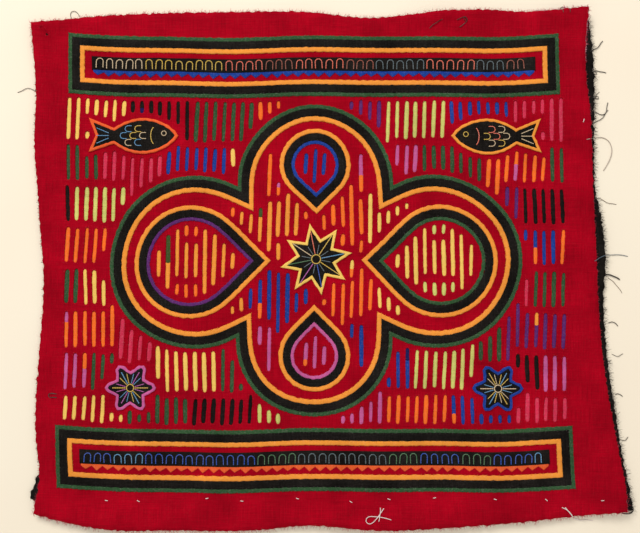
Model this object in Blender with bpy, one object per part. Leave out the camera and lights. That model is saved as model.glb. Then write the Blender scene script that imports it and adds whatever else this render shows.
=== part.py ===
"""A mola panel: a hand-sewn cotton blouse panel of layered cloth, lying flat on a table.

Metres, +Z up. +X runs along the panel's lower edge and +Y towards its upper edge. The origin is
the middle of the panel's footprint, on the table. A black backing cloth lies under a red top
cloth, both with uneven cut edges and margins that rise softly. The cut-out bands and motifs that
are sewn on lie flat on the red cloth. The sizes below are in millimetres.
"""

import math
from collections import namedtuple

import bmesh
import bpy
from mathutils import Vector
from mathutils.geometry import delaunay_2d_cdt

MM = 0.001

# Cloth thickness, the gap between pieces that touch, and the height where sewn patches lie
CLOTH = 1.0
GAP = 0.3
TOP_CLOTH_UNDERSIDE = CLOTH + GAP
PATCH_UNDERSIDE = TOP_CLOTH_UNDERSIDE + CLOTH + GAP

# Widths of the bands that edge a frame or the medallion, from outside to inside
SHAPE_BANDS = (("green", 2.8), ("black", 5.8), ("orange", 3.4))

# The sewn field: everything inside it lies flat
FIELD_CENTRE_X = -5.0
FIELD_HALF_WIDTH = 187.0
FIELD_LOW = -160.0
FIELD_HIGH = 172.0

# Long frames below and above the medallion, whose long sides bow down
FRAME_HEIGHT = 44.0
LOWER_FRAME_WIDTH = 368.0
LOWER_FRAME_Y = -156.0
UPPER_FRAME_WIDTH = 356.0
UPPER_FRAME_Y = 127.0
FRAME_BOW = 2.4
FRAME_STEP = 24.0

# The bar in a frame
BAR_HEIGHT = 10.0
BAR_END_SPACE = 5.0
BAR_LOWER_SPACE = 6.3
BAR_STEP = 24.0

# The four-lobed medallion between the frames
MEDALLION_Y = 6.0
SIDE_LOBE_RADIUS = 62.0
SIDE_LOBE_OFFSET = 86.0
END_LOBE_RADIUS = 56.0
END_LOBE_OFFSET = 56.0

# A drop-shaped petal in each lobe: how far its tip and round end are from the middle
PETAL_TIP = 33.0
PETAL_TIP_HALF_ANGLE = math.radians(45)
SIDE_PETAL_REACH = 130.0
END_PETAL_REACH = 94.0
PETAL_ORANGE_WIDTH = 3.0
PETAL_BLACK_WIDTH = 5.4
PETAL_INNER_WIDTH = 2.4

# The star in the middle of the medallion
STAR_POINTS = 8
STAR_RADIUS = 26.0
STAR_NOTCH_RADIUS = 14.5

# Small motifs in the four corners
MOTIF_X = 131.0
FISH_Y = 97.0
FISH_BODY_LENGTH = 52.0
FISH_BODY_HALF_HEIGHT = 13.0
FISH_TAIL_LENGTH = 13.0
FISH_TAIL_HALF_HEIGHT = 12.5
FISH_TAIL_FORK = 5.0
FISH_BODY_STEPS = 9
FISH_BODY_SHARE = 0.9
FISH_BODY_ROUNDNESS = 0.7
FLOWER_Y = -84.0
FLOWER_PETALS = 6
FLOWER_RADIUS = 15.0
FLOWER_PETAL_DEPTH = 3.2
FLOWER_STEPS_A_PETAL = 6

# The largest turn between points on an arc, and the spacing of points on the two cloths
ARC_STEP = math.radians(11)
EDGE_STEP = 9.0
MARGIN_STEP = 9.0

# How many such steps reach past the cloths' edges, from the origin to each side
MARGIN_REACH = 27

# The wander of a shape cut by hand: amplitudes, wavelengths and where the waves start
SLOW_WANDER = 0.9
QUICK_WANDER = 0.4
SLOW_WAVE = 36.0
QUICK_WAVE = 15.0
SLOW_START_ACROSS = 0.6
SLOW_START_UP = 1.1
QUICK_START_UP = 2.0

Knot = namedtuple("Knot", "x y")
Rise = namedtuple("Rise", "x y spread height")

# The cut edges of the red cloth, corner to corner and anticlockwise
RED_EDGES = (
    (
        Knot(-204.5, -173.5), Knot(-172, -181), Knot(-130, -185), Knot(-51, -185),
        Knot(-8, -181.5), Knot(44, -184), Knot(119, -181), Knot(171, -176), Knot(215, -171.5),
    ),
    (
        Knot(215, -171.5), Knot(213, -144), Knot(203, -85), Knot(199.5, -47),
        Knot(196.5, 12), Knot(194.5, 104), Knot(191.5, 147), Knot(193, 190),
    ),
    (
        Knot(193, 190), Knot(146, 187.5), Knot(115, 189), Knot(61, 185), Knot(30, 183.5),
        Knot(-18, 187.5), Knot(-91, 187), Knot(-156, 184.5), Knot(-211, 179),
    ),
    (
        Knot(-211, 179), Knot(-207, 128), Knot(-207.5, 87), Knot(-203, 30), Knot(-200, -14),
        Knot(-204.5, -106), Knot(-201, -145), Knot(-204.5, -173.5),
    ),
)

# The backing's edges: it shows past the red cloth on the right and in the lower left corner
BACKING_EDGES = (
    (
        Knot(-199, -170), Knot(-172, -178), Knot(-130, -182), Knot(-51, -182),
        Knot(-8, -178.5), Knot(44, -181), Knot(119, -178), Knot(171, -173), Knot(220.5, -171),
    ),
    (
        Knot(220.5, -171), Knot(216.5, -148), Knot(211, -112), Knot(205.5, -74),
        Knot(203.3, -44), Knot(202.5, -19), Knot(203.8, 8), Knot(200.5, 43),
        Knot(197.4, 60), Knot(197.2, 105), Knot(198, 131), Knot(197.5, 157), Knot(194, 181),
    ),
    (
        Knot(194, 181), Knot(146, 184.5), Knot(115, 186), Knot(61, 182), Knot(30, 180.5),
        Knot(-18, 184.5), Knot(-91, 184), Knot(-156, 181.5), Knot(-208, 176),
    ),
    (
        Knot(-208, 176), Knot(-206, 128), Knot(-206.6, 87), Knot(-202.2, 30),
        Knot(-199.2, -14), Knot(-203.6, -106), Knot(-200.5, -138), Knot(-204, -150),
        Knot(-208, -162), Knot(-199, -170),
    ),
)

# Where the margins rise off the table: place, spread and height
MARGIN_RISES = (
    Rise(-196, 176, 24, 2.6), Rise(-120, 190, 26, 1.4), Rise(-20, 192, 22, 1.2),
    Rise(84, 191, 17, 4.2), Rise(136, 192, 15, 1.4), Rise(190, 186, 17, 3.6),
    Rise(202, 104, 30, 2.0), Rise(204, 18, 26, 2.8), Rise(212, -86, 26, 2.0),
    Rise(216, -160, 20, 3.4), Rise(142, -184, 26, 1.6), Rise(48, -190, 36, 4.6),
    Rise(-62, -190, 24, 1.4), Rise(-150, -186, 24, 3.0), Rise(-206, -152, 18, 2.4),
    Rise(-208, -64, 26, 1.8), Rise(-206, 16, 22, 1.2), Rise(-214, 104, 26, 2.2),
)
RISE_WIDTH = 17.0

# The top cloth is looser than the backing, so its margins rise this much more
TOP_CLOTH_LOOSENESS = 1.3

# Dyed cotton, by colour
COTTON_ROUGHNESS = 0.9
COLOURS = {
    "red": (0.42, 0.003, 0.016),
    "black": (0.009, 0.009, 0.008),
    "green": (0.03, 0.10, 0.035),
    "orange": (0.90, 0.32, 0.04),
    "blue": (0.01, 0.05, 0.32),
    "purple": (0.10, 0.02, 0.14),
    "lilac": (0.50, 0.10, 0.36),
}


# Curves and outlines in the plane

def smooth_through(knots, step):
    """Points along a Catmull-Rom curve through the knots, without the last knot."""
    points = []
    for i in range(len(knots) - 1):
        before = Vector(knots[max(i - 1, 0)])
        here = Vector(knots[i])
        there = Vector(knots[i + 1])
        after = Vector(knots[min(i + 2, len(knots) - 1)])
        pieces = max(1, round((there - here).length / step))
        for k in range(pieces):
            t = k / pieces
            points.append(
                here
                + (there - before) * t / 2
                + (2 * before - 5 * here + 4 * there - after) * t ** 2 / 2
                + (3 * here - before - 3 * there + after) * t ** 3 / 2
            )
    return points


def arc(centre, radius, start, end):
    """Points from one angle to another, anticlockwise, without the last."""
    span = (end - start) % math.tau
    pieces = math.ceil(span / ARC_STEP)
    angles = [start + span * k / pieces for k in range(pieces)]
    return [centre + radius * Vector((math.cos(a), math.sin(a))) for a in angles]


def polygon(corners, step):
    """A closed outline with straight sides, cut into steps."""
    points = []
    for i, corner in enumerate(corners):
        following = corners[(i + 1) % len(corners)]
        pieces = max(1, round((following - corner).length / step))
        points += [corner.lerp(following, k / pieces) for k in range(pieces)]
    return points


def rectangle(left, right, low, high, step):
    corners = [Vector((left, low)), Vector((right, low)), Vector((right, high)), Vector((left, high))]
    return polygon(corners, step)


def inset(outline, distance):
    """The closed anticlockwise outline moved inwards by distance, with mitred corners."""
    moved = []
    for i, point in enumerate(outline):
        arriving = (point - outline[i - 1]).normalized()
        leaving = (outline[(i + 1) % len(outline)] - point).normalized()
        inward = Vector((-arriving.y - leaving.y, arriving.x + leaving.x)).normalized()
        half_turn_cosine = inward.dot(Vector((-leaving.y, leaving.x)))
        moved.append(point + inward * distance / half_turn_cosine)
    return moved


def hand_drawn(outline):
    """The outline with the slight wander of a shape cut by hand, moved to the field's middle."""
    return [
        Vector((
            FIELD_CENTRE_X + x + SLOW_WANDER * math.sin(y / SLOW_WAVE + SLOW_START_ACROSS)
            + QUICK_WANDER * math.sin(y / QUICK_WAVE),
            y + SLOW_WANDER * math.sin(x / SLOW_WAVE + SLOW_START_UP)
            + QUICK_WANDER * math.sin(x / QUICK_WAVE + QUICK_START_UP),
        ))
        for x, y in outline
    ]


# Height of the cloth over the table

def rise(x, y):
    """How far the backing stands off the table: not at all in the sewn field."""
    past_x = max(abs(x - FIELD_CENTRE_X) - FIELD_HALF_WIDTH, 0)
    past_y = max(FIELD_LOW - y, y - FIELD_HIGH, 0)
    share = min(math.hypot(past_x, past_y) / RISE_WIDTH, 1)
    ease = share * share * (3 - 2 * share)
    waves = sum(
        r.height * math.exp(-((x - r.x) ** 2 + (y - r.y) ** 2) / (2 * r.spread ** 2))
        for r in MARGIN_RISES
    )
    return ease * waves


# Solids

def make_material(name, colour):
    material = bpy.data.materials.new(name)
    material.use_nodes = True
    shader = material.node_tree.nodes["Principled BSDF"]
    shader.inputs["Base Color"].default_value = (*colour, 1)
    shader.inputs["Roughness"].default_value = COTTON_ROUGHNESS
    shader.inputs["Metallic"].default_value = 0
    return material


def make_object(name, bm, material):
    """An object from a closed bmesh in millimetres, with its faces turned outwards."""
    bmesh.ops.recalc_face_normals(bm, faces=bm.faces)
    bmesh.ops.scale(bm, vec=(MM, MM, MM), verts=bm.verts)
    mesh = bpy.data.meshes.new(name)
    bm.to_mesh(mesh)
    bm.free()
    mesh.materials.append(material)
    piece = bpy.data.objects.new(name, mesh)
    bpy.context.scene.collection.objects.link(piece)
    return piece


def join_loops(bm, first, second):
    """Quads between two closed loops of as many vertices."""
    for i in range(len(first)):
        j = (i + 1) % len(first)
        bm.faces.new((first[i], first[j], second[j], second[i]))


def loop_at(bm, outline, z):
    return [bm.verts.new((point.x, point.y, z)) for point in outline]


def ring(name, outline, outer, inner, material):
    """A flat band on the red cloth, between two insets of one outline."""
    bm = bmesh.new()
    top = PATCH_UNDERSIDE + CLOTH
    outer_low = loop_at(bm, inset(outline, outer), PATCH_UNDERSIDE)
    outer_high = loop_at(bm, inset(outline, outer), top)
    inner_high = loop_at(bm, inset(outline, inner), top)
    inner_low = loop_at(bm, inset(outline, inner), PATCH_UNDERSIDE)
    join_loops(bm, outer_low, outer_high)
    join_loops(bm, outer_high, inner_high)
    join_loops(bm, inner_high, inner_low)
    join_loops(bm, inner_low, outer_low)
    return make_object(name, bm, material)


def patch(name, outline, material):
    """A flat piece of cloth on the red cloth."""
    bm = bmesh.new()
    low = loop_at(bm, outline, PATCH_UNDERSIDE)
    high = loop_at(bm, outline, PATCH_UNDERSIDE + CLOTH)
    join_loops(bm, low, high)
    bm.faces.new(low)
    bm.faces.new(high)
    return make_object(name, bm, material)


def is_inside(point, outline):
    crossings = 0
    for i, here in enumerate(outline):
        before = outline[i - 1]
        if (here.y > point.y) != (before.y > point.y):
            share = (point.y - here.y) / (before.y - here.y)
            crossings += point.x < here.x + share * (before.x - here.x)
    return crossings % 2 == 1


def margin_points(outline):
    """Points in the rising margins, clear of the cloth's edge."""
    reach = range(-MARGIN_REACH, MARGIN_REACH + 1)
    grid = [Vector((i * MARGIN_STEP, j * MARGIN_STEP)) for i in reach for j in reach]
    return [
        p for p in grid
        if rise(*p) > 0 and is_inside(p, outline)
        and min((p - q).length for q in outline) > MARGIN_STEP / 2
    ]


def sheet(name, edges, underside, looseness, material):
    """A cloth of even thickness that follows the rises of the margins."""
    outline = [point for knots in edges for point in smooth_through(knots, EDGE_STEP)]
    field_edge = rectangle(
        FIELD_CENTRE_X - FIELD_HALF_WIDTH, FIELD_CENTRE_X + FIELD_HALF_WIDTH,
        FIELD_LOW, FIELD_HIGH, 2 * MARGIN_STEP,
    )
    first = len(outline)
    last = first + len(field_edge) - 1
    field_sides = [(k, k + 1) for k in range(first, last)] + [(last, first)]
    points, _, triangles, *_ = delaunay_2d_cdt(
        outline + field_edge + margin_points(outline), field_sides, [list(range(first))], 1, 1e-4
    )
    bm = bmesh.new()
    heights = [underside + looseness * rise(*p) for p in points]
    low = [bm.verts.new((*p, z)) for p, z in zip(points, heights)]
    high = [bm.verts.new((*p, z + CLOTH)) for p, z in zip(points, heights)]
    uses = {}
    for corners in triangles:
        bm.faces.new([low[i] for i in corners])
        bm.faces.new([high[i] for i in corners])
        for i, a in enumerate(corners):
            uses.setdefault(frozenset((a, corners[i - 1])), []).append((a, corners[i - 1]))
    for a, b in (used[0] for used in uses.values() if len(used) == 1):
        bm.faces.new((low[a], low[b], high[b], high[a]))
    return make_object(name, bm, material)


# Frames with their bars

def bowed(outline, half_width):
    """The outline with its middle let down, as a long strip sags in the sewing."""
    return [Vector((x, y - FRAME_BOW * (1 - (x / half_width) ** 2))) for x, y in outline]


def banded_ring_set(name, outline, bands):
    """Bands side by side, from the outline inwards, a gap apart. Returns their whole width."""
    depth = 0
    for colour, width in bands:
        ring(f"{name}_{colour}", outline, depth, depth + width - GAP, materials[colour])
        depth += width
    return depth


def make_frame(name, width, low):
    half_width = width / 2
    outline = rectangle(-half_width, half_width, low, low + FRAME_HEIGHT, FRAME_STEP)
    edging = banded_ring_set(name, hand_drawn(bowed(outline, half_width)), SHAPE_BANDS)
    half_length = half_width - edging - BAR_END_SPACE
    bar_low = low + edging + BAR_LOWER_SPACE
    bar = rectangle(-half_length, half_length, bar_low, bar_low + BAR_HEIGHT, BAR_STEP)
    patch(f"{name}_bar", hand_drawn(bowed(bar, half_width)), materials["black"])


# The medallion with its petals and star

def crossing(first_centre, first_radius, second_centre, second_radius):
    """Where two circles cross, on the right of the way from the first centre to the second."""
    apart = second_centre - first_centre
    along = (first_radius ** 2 - second_radius ** 2 + apart.length_squared) / (2 * apart.length)
    aside = math.sqrt(first_radius ** 2 - along ** 2)
    way = apart.normalized()
    return first_centre + way * along + Vector((way.y, -way.x)) * aside


def medallion_outline():
    """Four arcs that meet in points, anticlockwise from the right-hand lobe."""
    lobes = (
        (Vector((SIDE_LOBE_OFFSET, 0)), SIDE_LOBE_RADIUS),
        (Vector((0, END_LOBE_OFFSET)), END_LOBE_RADIUS),
        (Vector((-SIDE_LOBE_OFFSET, 0)), SIDE_LOBE_RADIUS),
        (Vector((0, -END_LOBE_OFFSET)), END_LOBE_RADIUS),
    )
    points = []
    for i, (centre, radius) in enumerate(lobes):
        next_centre, next_radius = lobes[(i + 1) % 4]
        start = crossing(*lobes[i - 1], centre, radius) - centre
        end = crossing(centre, radius, next_centre, next_radius) - centre
        start_angle = math.atan2(start.y, start.x)
        points += arc(centre, radius, start_angle, math.atan2(end.y, end.x))
    return points


def petal_outline(direction, reach):
    """A drop: most of a circle, and two straight sides to a tip that points to the middle."""
    radius = (reach - PETAL_TIP) / (1 + 1 / math.sin(PETAL_TIP_HALF_ANGLE))
    way = Vector((math.cos(direction), math.sin(direction)))
    centre = way * (reach - radius)
    half_span = math.pi / 2 + PETAL_TIP_HALF_ANGLE
    round_end = arc(centre, radius, direction - half_span, direction + half_span)
    angle = direction + half_span
    last = centre + radius * Vector((math.cos(angle), math.sin(angle)))
    tip = way * PETAL_TIP
    return round_end + [last, last.lerp(tip, 0.5), tip, tip.lerp(round_end[0], 0.5)]


def make_petal(name, direction, reach, inner_colour):
    bands = (
        ("orange", PETAL_ORANGE_WIDTH), ("black", PETAL_BLACK_WIDTH),
        (inner_colour, PETAL_INNER_WIDTH),
    )
    banded_ring_set(name, hand_drawn(lifted(petal_outline(direction, reach))), bands)


def lifted(outline):
    """The outline moved up from the medallion's middle."""
    return [Vector((x, y + MEDALLION_Y)) for x, y in outline]


def star_outline():
    points = []
    for k in range(2 * STAR_POINTS):
        radius = STAR_NOTCH_RADIUS if k % 2 else STAR_RADIUS
        angle = math.pi * (k + 0.5) / STAR_POINTS
        points.append(radius * Vector((math.cos(angle), math.sin(angle))))
    return points


def make_medallion():
    banded_ring_set("medallion", hand_drawn(lifted(medallion_outline())), SHAPE_BANDS)
    make_petal("petal_right", 0, SIDE_PETAL_REACH, "green")
    make_petal("petal_upper", math.pi / 2, END_PETAL_REACH, "blue")
    make_petal("petal_left", math.pi, SIDE_PETAL_REACH, "purple")
    make_petal("petal_lower", -math.pi / 2, END_PETAL_REACH, "lilac")
    patch("star", hand_drawn(lifted(star_outline())), materials["black"])


# Small motifs

def fish_outline(side):
    """A fish whose nose points to the middle, on the right (1) or the left (-1)."""
    nose = -(FISH_BODY_LENGTH + FISH_TAIL_LENGTH) / 2
    lower = []
    for k in range(1, FISH_BODY_STEPS + 1):
        share = FISH_BODY_SHARE * k / FISH_BODY_STEPS
        half_height = FISH_BODY_HALF_HEIGHT * math.sin(math.pi * share) ** FISH_BODY_ROUNDNESS
        lower.append(Vector((nose + FISH_BODY_LENGTH * share, -half_height)))
    tail = nose + FISH_BODY_LENGTH + FISH_TAIL_LENGTH
    lower.append(Vector((tail, -FISH_TAIL_HALF_HEIGHT)))
    upper = [Vector((x, -y)) for x, y in reversed(lower)]
    whole = [Vector((nose, 0)), *lower, Vector((tail - FISH_TAIL_FORK, 0)), *upper]
    if side < 0:
        whole = [Vector((-x, y)) for x, y in reversed(whole)]
    return [Vector((side * MOTIF_X + x, FISH_Y + y)) for x, y in whole]


def flower_outline(side):
    """A flower of round petals."""
    points = []
    count = FLOWER_PETALS * FLOWER_STEPS_A_PETAL
    for k in range(count):
        angle = math.tau * k / count
        radius = FLOWER_RADIUS + FLOWER_PETAL_DEPTH * math.cos(FLOWER_PETALS * angle)
        x = side * MOTIF_X + radius * math.cos(angle)
        points.append(Vector((x, FLOWER_Y + radius * math.sin(angle))))
    return points


# Placing

def centre_on_footprint(pieces):
    """Moves every piece so that the middle of the whole footprint is the origin."""
    places = [vertex.co for piece in pieces for vertex in piece.data.vertices]
    middle_x = (min(p.x for p in places) + max(p.x for p in places)) / 2
    middle_y = (min(p.y for p in places) + max(p.y for p in places)) / 2
    for piece in pieces:
        piece.location = (-middle_x, -middle_y, 0)


for old in list(bpy.data.objects):
    bpy.data.objects.remove(old)
materials = {name: make_material(f"{name}_cotton", colour) for name, colour in COLOURS.items()}

sheet("backing_cloth", BACKING_EDGES, 0, 1, materials["black"])
sheet("top_cloth", RED_EDGES, TOP_CLOTH_UNDERSIDE, TOP_CLOTH_LOOSENESS, materials["red"])
make_frame("lower_frame", LOWER_FRAME_WIDTH, LOWER_FRAME_Y)
make_frame("upper_frame", UPPER_FRAME_WIDTH, UPPER_FRAME_Y)
make_medallion()
patch("left_fish", hand_drawn(fish_outline(-1)), materials["black"])
patch("right_fish", hand_drawn(fish_outline(1)), materials["black"])
patch("left_flower", hand_drawn(flower_outline(-1)), materials["black"])
patch("right_flower", hand_drawn(flower_outline(1)), materials["black"])
centre_on_footprint(list(bpy.context.scene.collection.objects))
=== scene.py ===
"""Looks of a mola panel: cut, folded and sewn cotton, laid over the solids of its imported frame.

Shapes are worked out in millimetres and made in metres. Outlines and the height of the cloths are
read from the solids. The red cloth is one sheet with its slots cut through. Coloured cotton shows
in the slots. Bands, motifs, stitches, embroidery and loose threads lie on the sheet.
"""

import math
import random
from collections import namedtuple
from functools import lru_cache

import bpy
import numpy as np
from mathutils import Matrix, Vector
from mathutils.bvhtree import BVHTree
from mathutils.geometry import delaunay_2d_cdt


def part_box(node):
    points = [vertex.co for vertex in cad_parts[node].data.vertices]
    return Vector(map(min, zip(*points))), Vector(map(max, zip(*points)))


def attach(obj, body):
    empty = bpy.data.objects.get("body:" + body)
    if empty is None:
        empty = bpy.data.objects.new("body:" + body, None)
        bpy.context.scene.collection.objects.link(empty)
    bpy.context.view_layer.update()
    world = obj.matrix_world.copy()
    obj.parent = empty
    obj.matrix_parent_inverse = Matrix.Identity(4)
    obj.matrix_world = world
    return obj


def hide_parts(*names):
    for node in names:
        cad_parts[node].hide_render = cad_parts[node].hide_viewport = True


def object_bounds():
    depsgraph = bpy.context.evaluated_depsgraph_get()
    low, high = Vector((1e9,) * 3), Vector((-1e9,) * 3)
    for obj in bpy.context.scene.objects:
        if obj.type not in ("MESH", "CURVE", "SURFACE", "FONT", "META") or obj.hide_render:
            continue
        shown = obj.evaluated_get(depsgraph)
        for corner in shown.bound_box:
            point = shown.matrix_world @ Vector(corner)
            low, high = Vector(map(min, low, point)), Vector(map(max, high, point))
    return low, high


MM = 0.001

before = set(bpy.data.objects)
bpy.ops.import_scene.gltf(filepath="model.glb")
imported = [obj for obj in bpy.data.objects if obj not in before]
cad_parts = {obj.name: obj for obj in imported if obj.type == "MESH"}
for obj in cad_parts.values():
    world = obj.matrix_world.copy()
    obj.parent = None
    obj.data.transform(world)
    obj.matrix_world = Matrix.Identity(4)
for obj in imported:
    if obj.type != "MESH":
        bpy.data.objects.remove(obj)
cad_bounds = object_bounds()
dice = random.Random(7)

# How far up the middle of the sewn design lies, halfway between the star's corners
star_low, star_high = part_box("star")
DESIGN_Y = ((star_low + star_high) / 2 / MM).y

# Linear colours of the cloths and threads
RED = (0.350, 0.0008, 0.0105)
BLACK = (0.0105, 0.0090, 0.0080)
GREEN = (0.030, 0.085, 0.033)
ORANGE = (0.86, 0.31, 0.045)
VERMILION = (0.80, 0.115, 0.028)
YELLOW = (0.88, 0.58, 0.13)
LIME = (0.60, 0.60, 0.16)
BLUE = (0.012, 0.050, 0.30)
NAVY = (0.012, 0.012, 0.085)
PURPLE = (0.105, 0.022, 0.150)
LILAC = (0.54, 0.105, 0.31)
ROSE = (0.62, 0.034, 0.085)
MOSS = (0.050, 0.085, 0.020)
FLAME = (0.90, 0.165, 0.022)


# Small sums

@lru_cache
def wave_table(wavelength, seed):
    """Random directions, wave numbers and phases of five crossing waves."""
    source = random.Random(seed)
    table = []
    for _ in range(5):
        turn = source.uniform(0, math.tau)
        number = math.tau / (wavelength * source.uniform(0.75, 1.4))
        phase = source.uniform(0, math.tau)
        table.append((number * math.cos(turn), number * math.sin(turn), phase))
    return np.array(table)


def waves(points, wavelength, height, seed):
    """A smooth random height at each point of the plane, about as high as the given height."""
    table = wave_table(wavelength, seed)
    angles = points @ table[:, :2].T + table[:, 2]
    return np.sin(angles).sum(1) * height / 2.2


def wander(count, length, wavelength, height, seed):
    """A smooth random value at each step round a closed line of that length."""
    source = random.Random(seed)
    steps = np.arange(count) / count * math.tau
    total = np.zeros(count)
    for _ in range(6):
        turns = max(1, round(length / (wavelength * source.uniform(0.7, 1.6))))
        total += np.sin(steps * turns + source.uniform(0, math.tau))
    return total * height / 2.4


def lengths_along(points):
    """The distance from each point of a closed line to the next."""
    return np.linalg.norm(np.roll(points, -1, 0) - points, axis=1)


def smooth_closed(points, step, corner=math.radians(40)):
    """Points about a step apart on a closed curve through the points, with its corners kept.

    The first two columns are the place. More columns are carried along.
    """
    ahead = np.roll(points, -1, 0) - points
    reach = np.linalg.norm(ahead[:, :2], axis=1)
    slope = ahead / reach[:, None]
    behind_reach = np.roll(reach, 1)
    behind_slope = np.roll(slope, 1, 0)
    blended = (behind_slope * reach[:, None] + slope * behind_reach[:, None])
    blended /= (reach + behind_reach)[:, None]
    cosine = (slope[:, :2] * behind_slope[:, :2]).sum(1)
    is_corner = cosine < math.cos(corner)
    leaving = np.where(is_corner[:, None], slope, blended)
    arriving = np.roll(np.where(is_corner[:, None], behind_slope, blended), -1, 0)
    curve = []
    for i, start in enumerate(points):
        end = points[(i + 1) % len(points)]
        pieces = max(1, round(reach[i] / step))
        for t in np.arange(pieces) / pieces:
            curve.append(
                start * (1 + 2 * t) * (1 - t) ** 2 + end * t * t * (3 - 2 * t)
                + leaving[i] * reach[i] * t * (1 - t) ** 2
                - arriving[i] * reach[i] * t * t * (1 - t)
            )
    return np.array(curve)


def inset(points, distance):
    """The closed anticlockwise outline moved inwards, by one distance or one for each point."""
    ahead = np.roll(points, -1, 0) - points
    ahead /= np.linalg.norm(ahead, axis=1)[:, None]
    behind = np.roll(ahead, 1, 0)
    inward = np.stack([-ahead[:, 1] - behind[:, 1], ahead[:, 0] + behind[:, 0]], 1)
    inward /= np.linalg.norm(inward, axis=1)[:, None]
    cosine = inward[:, 1] * ahead[:, 0] - inward[:, 0] * ahead[:, 1]
    return points + inward * (distance / np.maximum(cosine, 0.3))[:, None]


def side_by_side(outline, distances, step):
    """Smooth closed curves at those distances inside an outline, point by point side by side."""
    curves = smooth_closed(np.hstack([outline, *(inset(outline, d) for d in distances)]), step)
    return [curves[:, k:k + 2] for k in range(2, curves.shape[1], 2)]


def is_within(points, outline):
    """Whether each point lies inside the closed outline."""
    inside = np.zeros(len(points), bool)
    x, y = points[:, 0], points[:, 1]
    for (ax, ay), (bx, by) in zip(outline, np.roll(outline, -1, 0)):
        if ay == by:
            continue
        crossed = (ay > y) != (by > y)
        inside ^= crossed & (x < ax + (y - ay) / (by - ay) * (bx - ax))
    return inside


# What the solids say: outlines and heights

def outlines(node):
    """The closed outlines of a node's upper side, anticlockwise, the longest first."""
    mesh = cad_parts[node].data
    ahead = {}
    for face in mesh.polygons:
        if face.normal.z < 0.5:
            continue
        corners = []
        for index in face.vertices:
            place = mesh.vertices[index].co / MM
            corners.append((round(place.x, 3), round(place.y, 3)))
        for a, b in zip(corners, corners[1:] + corners[:1]):
            if ahead.get(b) and a in ahead[b]:
                ahead[b].remove(a)
            else:
                ahead.setdefault(a, set()).add(b)
    loops = []
    while any(ahead.values()):
        start = next(a for a, followers in ahead.items() if followers)
        loop = [start]
        here = ahead[start].pop()
        while here != start:
            loop.append(here)
            here = ahead[here].pop()
        loops.append(np.array(loop))
    loops.sort(key=lambda points: -lengths_along(points).sum())
    return [loops[0], *(points[::-1] for points in loops[1:])]


HeightMap = namedtuple("HeightMap", "left low step heights")
HEIGHT_STEP = 4.0
SIDEWAYS = ((0, 1), (0, -1), (1, 0), (-1, 0))


def height_map(node):
    """The height of a cloth's upper side on a grid, carried on past its edge."""
    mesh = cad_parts[node].data
    tree = BVHTree.FromPolygons(
        [vertex.co for vertex in mesh.vertices], [face.vertices for face in mesh.polygons]
    )
    low, high = cad_bounds
    left, bottom = low.x / MM - 4 * HEIGHT_STEP, low.y / MM - 4 * HEIGHT_STEP
    columns = int((high.x - low.x) / MM / HEIGHT_STEP) + 10
    rows = int((high.y - low.y) / MM / HEIGHT_STEP) + 10
    heights = np.full((rows, columns), np.nan)
    for row in range(rows):
        for column in range(columns):
            x, y = left + column * HEIGHT_STEP, bottom + row * HEIGHT_STEP
            hit = tree.ray_cast(Vector((x * MM, y * MM, 1)), Vector((0, 0, -1)))[0]
            if hit is not None:
                heights[row, column] = hit.z / MM
    while np.isnan(heights).any():
        around = np.stack([neighbours(heights, *shift) for shift in SIDEWAYS])
        known = ~np.isnan(around)
        mean = np.where(known, around, 0).sum(0) / np.maximum(known.sum(0), 1)
        heights = np.where(np.isnan(heights) & known.any(0), mean, heights)
    around = [neighbours(heights, *shift) for shift in SIDEWAYS]
    return HeightMap(left, bottom, HEIGHT_STEP, (2 * heights + sum(around)) / 6)


def neighbours(grid, down, right):
    """The grid moved by one cell, with its border repeated."""
    padded = np.pad(grid, 1, mode="edge")
    rows, columns = grid.shape
    return padded[1 + down:1 + down + rows, 1 + right:1 + right + columns]


def read_height(chart, points):
    across = (points[:, 0] - chart.left) / chart.step
    up = (points[:, 1] - chart.low) / chart.step
    column = np.clip(across.astype(int), 0, chart.heights.shape[1] - 2)
    row = np.clip(up.astype(int), 0, chart.heights.shape[0] - 2)
    s, t = across - column, up - row
    h = chart.heights
    return (
        h[row, column] * (1 - s) * (1 - t) + h[row, column + 1] * s * (1 - t)
        + h[row + 1, column] * (1 - s) * t + h[row + 1, column + 1] * s * t
    )


red_map = height_map("top_cloth")
black_map = height_map("backing_cloth")


# Sharp creases in the red cloth's margin, from one end to the other
Crease = namedtuple("Crease", "start_x start_y end_x end_y depth")
CREASES = (
    Crease(184.6, -151.5, 186.5, -181.0, 0.30), Crease(176.5, -3.5, 192.0, -6.5, 0.22),
    Crease(185.0, -22.0, 195.0, -24.0, 0.20), Crease(75.0, 170.5, 83.0, 181.0, 0.30),
    Crease(-205.0, 60.0, -203.0, 20.0, 0.16), Crease(-60.0, -163.0, -20.0, -165.0, 0.14),
)
CREASE_WIDTH = 0.75
CREASE_STEP = 1.6


def crease_depth(points):
    """How deep the creases lie at each point, none past their ends."""
    depth = np.zeros(len(points))
    for crease in CREASES:
        start = np.array([crease.start_x, crease.start_y])
        way = np.array([crease.end_x, crease.end_y]) - start
        share = np.clip((points - start) @ way / (way @ way), 0, 1)
        away = np.linalg.norm(points - start - share[:, None] * way, axis=1)
        depth += crease.depth * np.sin(share * math.pi) * np.exp(-(away / CREASE_WIDTH) ** 2)
    return depth


def crease_points():
    """Points in close rows along the creases, so that the sheet can follow them."""
    rows = []
    for crease in CREASES:
        start = np.array([crease.start_x, crease.start_y])
        way = np.array([crease.end_x, crease.end_y]) - start
        length = np.linalg.norm(way)
        aside = np.array([way[1], -way[0]]) / length
        for rank in range(-2, 3):
            for share in np.linspace(0, 1, int(length / CREASE_STEP)):
                rows.append(start + way * share + aside * rank * CREASE_WIDTH)
    return np.array(rows)


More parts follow.
